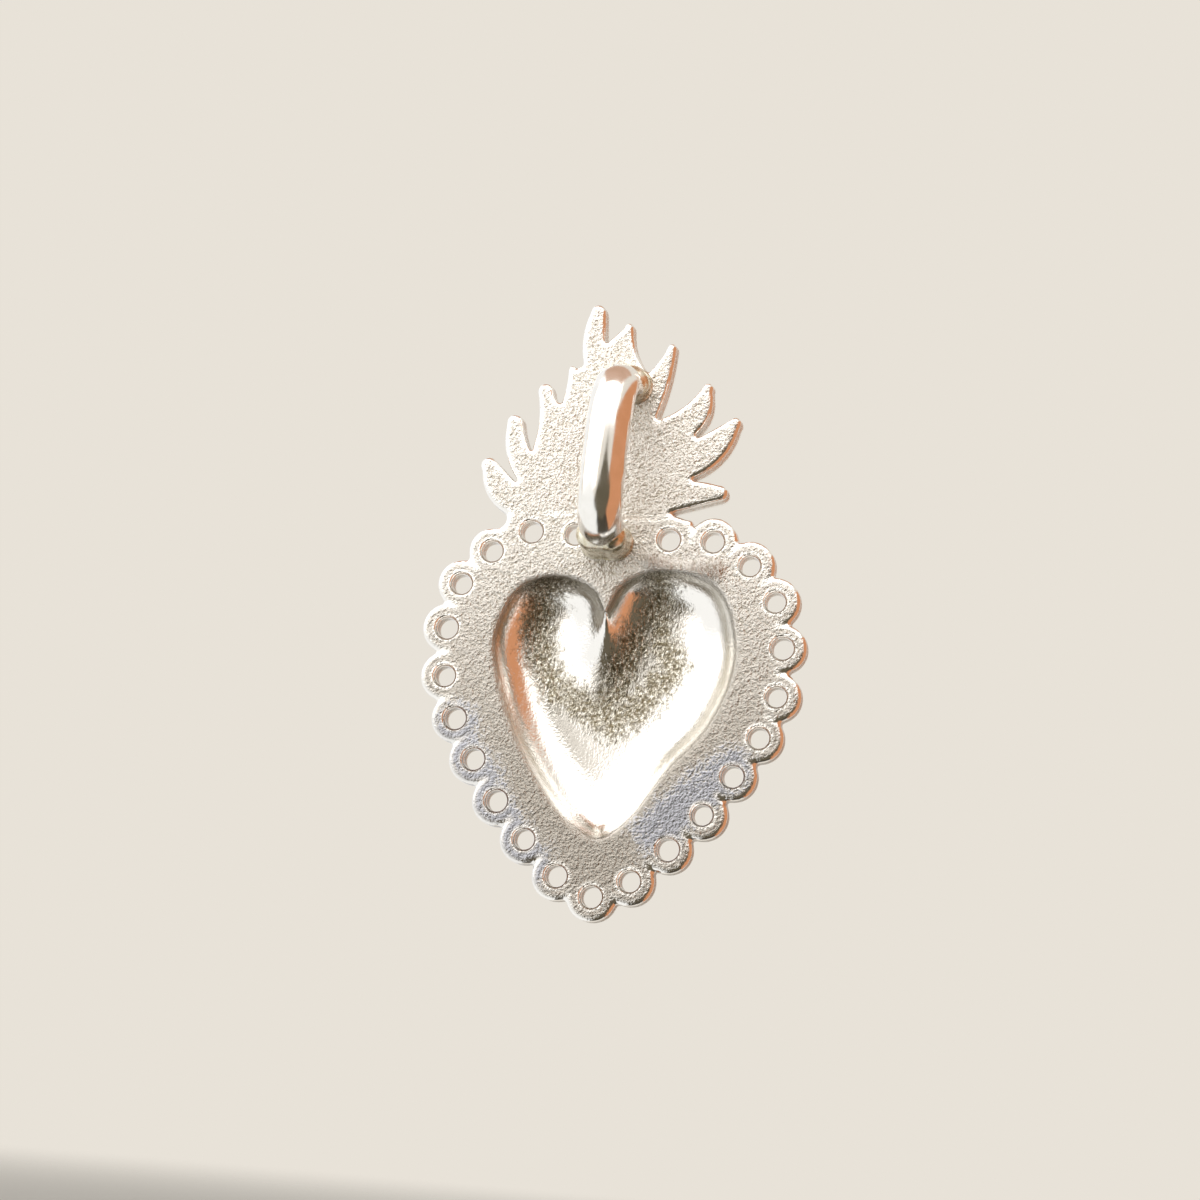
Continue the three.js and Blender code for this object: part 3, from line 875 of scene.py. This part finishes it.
x, y, z = points_of(casting).T
outline_distance = blended(border_distance(x, y), flame_distance(x, y), SCALLOP_FILLET)
hole_distance = np.min([np.hypot(x - cx, y - cy) for cx, cy in hole_centres], axis=0) - HOLE_RADIUS
share = rim_share(x, y, 0)
inside_hollow = facing_back(casting) & (z < -RIM_LIP)
on_back = z > -PLATE_THICKNESS / 2
mark(casting, "hollow", faded(share, 1 - HOLLOW_BLEND, 1 + HOLLOW_SPILL) * inside_hollow)
rubbed_outline = faded(outline_distance, -RUB_START, -RUB_WIDTH)
rubbed_holes = faded(hole_distance, HOLE_RUB_START, HOLE_RUB_WIDTH)
near_faces = faded(np.minimum(-z, z + PLATE_THICKNESS), RUB_DEPTH / 3, RUB_DEPTH)
mark(casting, "rubbed", np.maximum(rubbed_outline, rubbed_holes) * near_faces)
outside_hollow = 1 - inside_hollow * (share < 1)
mark(casting, "front", faded(z, -PLATE_THICKNESS, -PLATE_THICKNESS / 2) * outside_hollow)
mark(casting, "worn", near_paths((WORN_LEFT, WORN_RIGHT), WORN_WIDTH, x, y) * on_back)
mark(casting, "flawed", near_paths((FLAWED_EDGE,), FLAW_WIDTH, x, y) * on_back)
# The stain mark: partly a real stain, partly a painted reflection of dark surroundings in the upper walls
# and by the crease.
stain_and_reflection = near_paths((STAIN_AND_REFLECTION_ROUND_LOBES, STAIN_AND_REFLECTION_BY_CREASE), STAIN_AND_REFLECTION_WIDTH, x, y)
mark(casting, "stain_and_reflection", stain_and_reflection * inside_hollow)
# The plate is coloured duller towards the tip, by its height in the drawing alone.
mark(casting, "duller_towards_tip", faded(y, DULLING_LOW_Y, DULLING_HIGH_Y))

# %% [markdown]
# ## Stand the medal up
# Each finished mesh now gets its place in the row frame. Each piece rides on the only body, and the
# CAD node that it stands for is hidden. The table lists each piece with its CAD node and the slot of
# its finish.

PIECES = [
    (casting, "heart_medal_casting", "cast_silver"),
    (bail, "bail_wire", "polished_silver"),
    (lower_joint, "solder_joint_lower", "silver_solder"),
    (upper_joint, "solder_joint_upper", "silver_solder"),
]
for piece, cad_node, finish_slot in PIECES:
    move_points(piece, stood_up(points_of(piece)))
    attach(piece, "root")
    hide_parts(cad_node)
print("pieces:", ", ".join(piece.name for piece, _, _ in PIECES))

# %% [markdown]
# ## The finishes
# All the metal is silver, and what tells one stretch from the next is how rough it is and how it is
# coloured. The cast skin is sandy, so it is rough and bumpy, and its pits are painted darker as
# shade. The hollow is smooth apart from the stain, where short strokes and specks break up what it
# mirrors, and where the dark colour is partly a painted reflection of dark surroundings. The wire is
# polished with fine scratches along it, and the solder is yellower and lumpy, with olive and cream
# patches that are partly painted reflection. Noise at the real size of each grain makes them all.

# %% Helpers for materials
def new_finish(material):
    material.use_nodes = True
    tree = material.node_tree
    shader = tree.nodes["Principled BSDF"]
    shader.inputs["Metallic"].default_value = 1.0
    return tree, shader


def attribute(tree, name):
    return add_node(tree, "ShaderNodeAttribute", attribute_name=name).outputs["Fac"]


def spread(tree, value, low, high, to_low=0.0, to_high=1.0):
    """A value from one range mapped softly to another, and held at its ends."""
    settings = {"Value": value, "From Min": low, "From Max": high, "To Min": to_low, "To Max": to_high}
    return add_node(tree, "ShaderNodeMapRange", settings, interpolation_type="SMOOTHSTEP").outputs[0]


def colour_mix(tree, share, first, second):
    mixed = add_node(tree, "ShaderNodeMix", {0: share, 6: first, 7: second}, data_type="RGBA")
    return mixed.outputs[2]


def number_mix(tree, share, first, second):
    return add_node(tree, "ShaderNodeMix", {0: share, 2: first, 3: second}).outputs[0]


def noise(tree, grain_mm, detail=2.0, roughness=0.5, stretch=(1, 1, 1), swirl=0.0):
    """Noise whose lumps are about grain_mm across on the real object."""
    place = add_node(tree, "ShaderNodeTexCoord").outputs["Object"]
    mapped = add_node(tree, "ShaderNodeMapping", {"Vector": place, "Scale": stretch}).outputs[0]
    settings = {"Vector": mapped, "Scale": 1 / (grain_mm * MM), "Detail": detail, "Roughness": roughness,
                "Distortion": swirl}
    return add_node(tree, "ShaderNodeTexNoise", settings).outputs["Fac"]


def raised(tree, height, depth_mm, strength, base=None):
    inputs = {"Height": height, "Distance": depth_mm * MM, "Strength": strength}
    if base:
        inputs["Normal"] = base
    return add_node(tree, "ShaderNodeBump", inputs).outputs[0]


# %% Cast silver
SILVER = (0.95, 0.93, 0.90, 1)
SILVER_CAST = (0.81, 0.78, 0.735, 1)
# Painted shade: a darker colour for the low places of the grain.
SILVER_PIT_SHADE = (0.5, 0.46, 0.39, 1)
SILVER_DULL = (0.37, 0.34, 0.3, 1)
SILVER_WORN = (0.36, 0.365, 0.4, 1)
# A dark brown that is partly the stain's own colour and partly a painted reflection of dark surroundings.
STAIN_AND_MIRRORED_DARK = (0.2, 0.165, 0.1, 1)
STAIN_AND_REFLECTION_PALE = (0.92, 0.89, 0.8, 1)
CAST_ROUGHNESS = 0.3
SMOOTH_ROUGHNESS = 0.06
STAIN_ROUGHNESS = 0.14
CAST_BUMP_MM = 0.1
STROKE_BUMP_MM = 0.06


def make_cast_silver(material):
    tree, shader = new_finish(material)
    grain = noise(tree, 0.12, detail=2.5, roughness=0.6)
    lumps = noise(tree, 0.3, detail=1.0)
    blotches = noise(tree, 1.1, detail=5.0, roughness=0.7)
    smears = noise(tree, 0.35, detail=6.0, roughness=0.75)
    specks = noise(tree, 0.16, detail=4.0, roughness=0.8)
    strokes = noise(tree, 0.2, detail=3.0, roughness=0.6, stretch=(1, 1, 0.45), swirl=1.5)
    ripples = noise(tree, 0.4, detail=4.0, roughness=0.7)
    flaws = maths(tree, "MULTIPLY", ripples, attribute(tree, "flawed"))
    height = maths(tree, "MULTIPLY_ADD", flaws, 4.0, maths(tree, "MULTIPLY_ADD", lumps, 0.45, grain))

    rubbed = attribute(tree, "rubbed")
    patches = maths(tree, "MULTIPLY_ADD", blotches, 1.2, maths(tree, "MULTIPLY", grain, 1.4))
    worn = spread(tree, maths(tree, "ADD", patches, attribute(tree, "worn")), 1.62, 2.12)
    worn = maths(tree, "MULTIPLY", worn, maths(tree, "MULTIPLY_ADD", rubbed, -0.85, 1.0))
    stain_and_reflection_share = spread(tree, maths(tree, "MULTIPLY_ADD", smears, 2.2, attribute(tree, "stain_and_reflection")), 1.35, 2.1)
    hollow = attribute(tree, "hollow")
    stain_and_reflection_share = maths(tree, "MULTIPLY", stain_and_reflection_share, hollow)
    front = maths(tree, "MULTIPLY", attribute(tree, "front"), 0.75)
    bright = maths(tree, "MAXIMUM", rubbed, front)
    bright = maths(tree, "MAXIMUM", hollow, bright)
    smooth = maths(tree, "MAXIMUM", maths(tree, "MULTIPLY", worn, 0.6), bright)

    # Painted shade in the pits: where the grain that makes the bump is low, the colour goes darker.
    pit_shade = colour_mix(tree, spread(tree, grain, 0.33, 0.5), SILVER_PIT_SHADE, SILVER_CAST)
    # Towards the tip the skin colour is mixed with a duller one.
    dulled = maths(tree, "MULTIPLY", attribute(tree, "duller_towards_tip"), 0.95)
    skin_colour = colour_mix(tree, dulled, pit_shade, SILVER_DULL)
    plate_colour = colour_mix(tree, smooth, skin_colour, SILVER)
    worn_colour = colour_mix(tree, worn, plate_colour, SILVER_WORN)
    # The stain's colour, partly real stain and partly a painted reflection of dark surroundings.
    stain_and_reflection_colour = colour_mix(tree, spread(tree, specks, 0.42, 0.66), STAIN_AND_MIRRORED_DARK, STAIN_AND_REFLECTION_PALE)
    tree.links.new(colour_mix(tree, stain_and_reflection_share, worn_colour, stain_and_reflection_colour), shader.inputs["Base Color"])
    unstained = number_mix(tree, smooth, CAST_ROUGHNESS, SMOOTH_ROUGHNESS)
    roughness = maths(tree, "MULTIPLY_ADD", stain_and_reflection_share, STAIN_ROUGHNESS, unstained)
    tree.links.new(roughness, shader.inputs["Roughness"])
    cast_skin = raised(tree, height, CAST_BUMP_MM, number_mix(tree, smooth, 1.0, 0.12))
    stroke_strength = number_mix(tree, stain_and_reflection_share, 0.12, 1.0)
    burnished = raised(tree, strokes, STROKE_BUMP_MM, stroke_strength, base=cast_skin)
    tree.links.new(burnished, shader.inputs["Normal"])


make_cast_silver(cast_silver)


# %% Polished wire and solder
WIRE_HAZE = (0.9, 0.88, 0.84, 1)
# The solder's olive and cream patches are partly its own yellower tone and partly painted reflection.
SOLDER_TONE_AND_OLIVE_REFLECTION = (0.66, 0.6, 0.45, 1)
SOLDER_TONE_AND_CREAM_REFLECTION = (0.95, 0.91, 0.8, 1)


def make_polished_silver(material):
    tree, shader = new_finish(material)
    scratches = noise(tree, 0.12, detail=3.0, stretch=(1, 1, 0.06))
    haze = noise(tree, 0.8, detail=3.0)
    colour = colour_mix(tree, spread(tree, haze, 0.35, 0.65), WIRE_HAZE, SILVER)
    tree.links.new(colour, shader.inputs["Base Color"])
    tree.links.new(spread(tree, haze, 0.3, 0.7, 0.12, 0.2), shader.inputs["Roughness"])
    tree.links.new(raised(tree, scratches, 0.004, 0.5), shader.inputs["Normal"])


def make_solder(material):
    tree, shader = new_finish(material)
    lumps = noise(tree, 0.35, detail=3.0)
    colour = colour_mix(tree, spread(tree, lumps, 0.35, 0.65), SOLDER_TONE_AND_OLIVE_REFLECTION, SOLDER_TONE_AND_CREAM_REFLECTION)
    tree.links.new(colour, shader.inputs["Base Color"])
    tree.links.new(spread(tree, lumps, 0.3, 0.7, 0.2, 0.36), shader.inputs["Roughness"])
    tree.links.new(raised(tree, lumps, 0.03, 0.6), shader.inputs["Normal"])


make_polished_silver(polished_silver)
make_solder(solder)
finishes = (cast_silver, polished_silver, solder)
print("nodes in the finishes:", [len(finish.node_tree.nodes) for finish in finishes])

# %% [markdown]
# ## Camera, floor and light
# The camera stands a little to the right of the back and a little below it, and is rolled so that
# the flames lean to the right. The floor is pale and fades out at its edge into a background of the
# same colour.

# %% The camera
from mathutils import Quaternion, Vector

CAMERA_AZIMUTH = math.radians(10)
CAMERA_ELEVATION = math.radians(-9)
CAMERA_ROLL = math.radians(5)
CAMERA_DISTANCE = 0.1569
CAMERA_LENS = 100
CAMERA_TARGET = Vector((-0.00023, 0.0016, -0.00658))


def direction_to(azimuth, elevation):
    """From the medal towards a place round it: azimuth 0 is straight behind its back."""
    level = math.cos(elevation)
    return Vector((math.sin(azimuth) * level, -math.cos(azimuth) * level, math.sin(elevation)))


def make_camera():
    data = bpy.data.cameras.new("camera")
    data.lens = CAMERA_LENS
    data.clip_start = MM
    camera = bpy.data.objects.new("camera", data)
    bpy.context.scene.collection.objects.link(camera)
    back = direction_to(CAMERA_AZIMUTH, CAMERA_ELEVATION)
    camera.rotation_mode = "QUATERNION"
    camera.rotation_quaternion = (-back).to_track_quat("-Z", "Y") @ Quaternion((0, 0, 1), CAMERA_ROLL)
    camera.location = CAMERA_TARGET + back * CAMERA_DISTANCE
    bpy.context.scene.camera = camera


make_camera()
print("camera:", CAMERA_DISTANCE, "m from the medal, with a lens of", CAMERA_LENS, "mm")

# %% The floor
FLOOR_Z = -0.045
FLOOR_RADIUS = 0.6
FLOOR_SIDES = 96
FADE_START = 0.15
PALE = (0.807, 0.761, 0.687, 1)


def make_floor():
    data = bpy.data.meshes.new("floor")
    turn = np.linspace(0, 2 * math.pi, FLOOR_SIDES, endpoint=False)
    height = np.full(FLOOR_SIDES, FLOOR_Z)
    rim = np.column_stack([FLOOR_RADIUS * np.cos(turn), FLOOR_RADIUS * np.sin(turn), height])
    data.from_pydata(rim.tolist(), [], [list(range(FLOOR_SIDES))])
    floor = bpy.data.objects.new("floor", data)
    bpy.context.scene.collection.objects.link(floor)
    material = bpy.data.materials.new("pale floor")
    material.use_nodes = True
    tree = material.node_tree
    shader = tree.nodes["Principled BSDF"]
    shader.inputs["Base Color"].default_value = PALE
    shader.inputs["Roughness"].default_value = 1.0
    shader.inputs["Specular IOR Level"].default_value = 0.0
    place = add_node(tree, "ShaderNodeTexCoord").outputs["Object"]
    reach = add_node(tree, "ShaderNodeVectorMath", {0: place}, operation="LENGTH").outputs["Value"]
    tree.links.new(spread(tree, reach, FLOOR_RADIUS, FADE_START), shader.inputs["Alpha"])
    data.materials.append(material)
    floor.visible_glossy = False


make_floor()
print("floor:", FLOOR_Z, "m up,", 2 * FLOOR_RADIUS, "m across")

# %% [markdown]
# ## What the metal mirrors
# Polished silver has hardly any colour of its own and shows what stands round it. Two soft lamps
# light the medal from the left and from above, and they are also the white that the hollow mirrors.
# Cards that only the metal sees give it the dark, the warm and the light stretches between. They
# stand close, so that what a face mirrors changes from one end of the medal to the other, as it
# does when such a thing is held near.

# %% The world and the lamps
DIM_FILL = (0.25, 0.25, 0.25, 1)


def make_world():
    world = bpy.data.worlds.new("studio")
    world.use_nodes = True
    tree = world.node_tree
    background = tree.nodes["Background"]
    path = add_node(tree, "ShaderNodeLightPath").outputs
    seen = maths(tree, "MAXIMUM", path["Is Camera Ray"],
                 maths(tree, "MAXIMUM", path["Is Glossy Ray"], path["Is Transmission Ray"]))
    tree.links.new(colour_mix(tree, seen, DIM_FILL, PALE), background.inputs["Color"])
    bpy.context.scene.world = world


def face_medal(thing, azimuth, elevation, distance, roll=0):
    back = direction_to(math.radians(azimuth), math.radians(elevation))
    thing.location = CAMERA_TARGET + back * distance
    thing.rotation_mode = "QUATERNION"
    thing.rotation_quaternion = back.to_track_quat("Z", "Y") @ Quaternion((0, 0, 1), math.radians(roll))


def add_lamp(name, azimuth, elevation, distance, size, brightness, colour=(1, 1, 1)):
    """A square soft box. Brightness 1 is what a white card shows."""
    data = bpy.data.lights.new(name, "AREA")
    data.shape = "SQUARE"
    data.size = size
    data.energy = brightness * math.pi * size**2
    data.color = colour
    lamp = bpy.data.objects.new(name, data)
    bpy.context.scene.collection.objects.link(lamp)
    face_medal(lamp, azimuth, elevation, distance)


def add_card(name, azimuth, elevation, distance, width, height, colour, roll=0):
    """A card that only the metal sees, to give its polish something to mirror."""
    data = bpy.data.meshes.new(name)
    sides = ((-1, -1), (1, -1), (1, 1), (-1, 1))
    corners = [(across * width / 2, up * height / 2, 0) for across, up in sides]
    data.from_pydata(corners, [], [(0, 1, 2, 3)])
    card = bpy.data.objects.new(name, data)
    bpy.context.scene.collection.objects.link(card)
    face_medal(card, azimuth, elevation, distance, roll)
    material = bpy.data.materials.new(name)
    material.use_nodes = True
    tree = material.node_tree
    tree.nodes.clear()
    glow = add_node(tree, "ShaderNodeEmission", {"Color": (*colour, 1)})
    add_node(tree, "ShaderNodeOutputMaterial", {"Surface": glow.outputs[0]})
    data.materials.append(material)
    card.visible_camera = False
    card.visible_diffuse = False
    card.visible_shadow = False


make_world()
add_lamp("key", azimuth=-52, elevation=26, distance=0.35, size=0.6, brightness=1.0)
add_lamp("top", azimuth=8, elevation=54, distance=0.3, size=0.4, brightness=1.0)
add_card("warm card", 100, -6, 0.11, 0.34, 0.23, (0.64, 0.29, 0.145))
add_card("dark card by the camera", 20, -25, 0.125, 0.14, 0.16, (0.13, 0.11, 0.075), roll=-33)
add_card("dark card below", 25, -75, 0.15, 0.3, 0.2, (0.07, 0.06, 0.045))
add_card("light card below", -76, -44, 0.12, 0.26, 0.22, (1.0, 1.0, 0.98))
add_card("white card behind", -135, 10, 0.3, 0.4, 0.5, (1.0, 1.0, 1.0))
add_card("warm card above", 180, 80, 0.25, 0.3, 0.25, (0.62, 0.4, 0.29))

# %% The view transform
bpy.context.scene.view_settings.view_transform = "Standard"
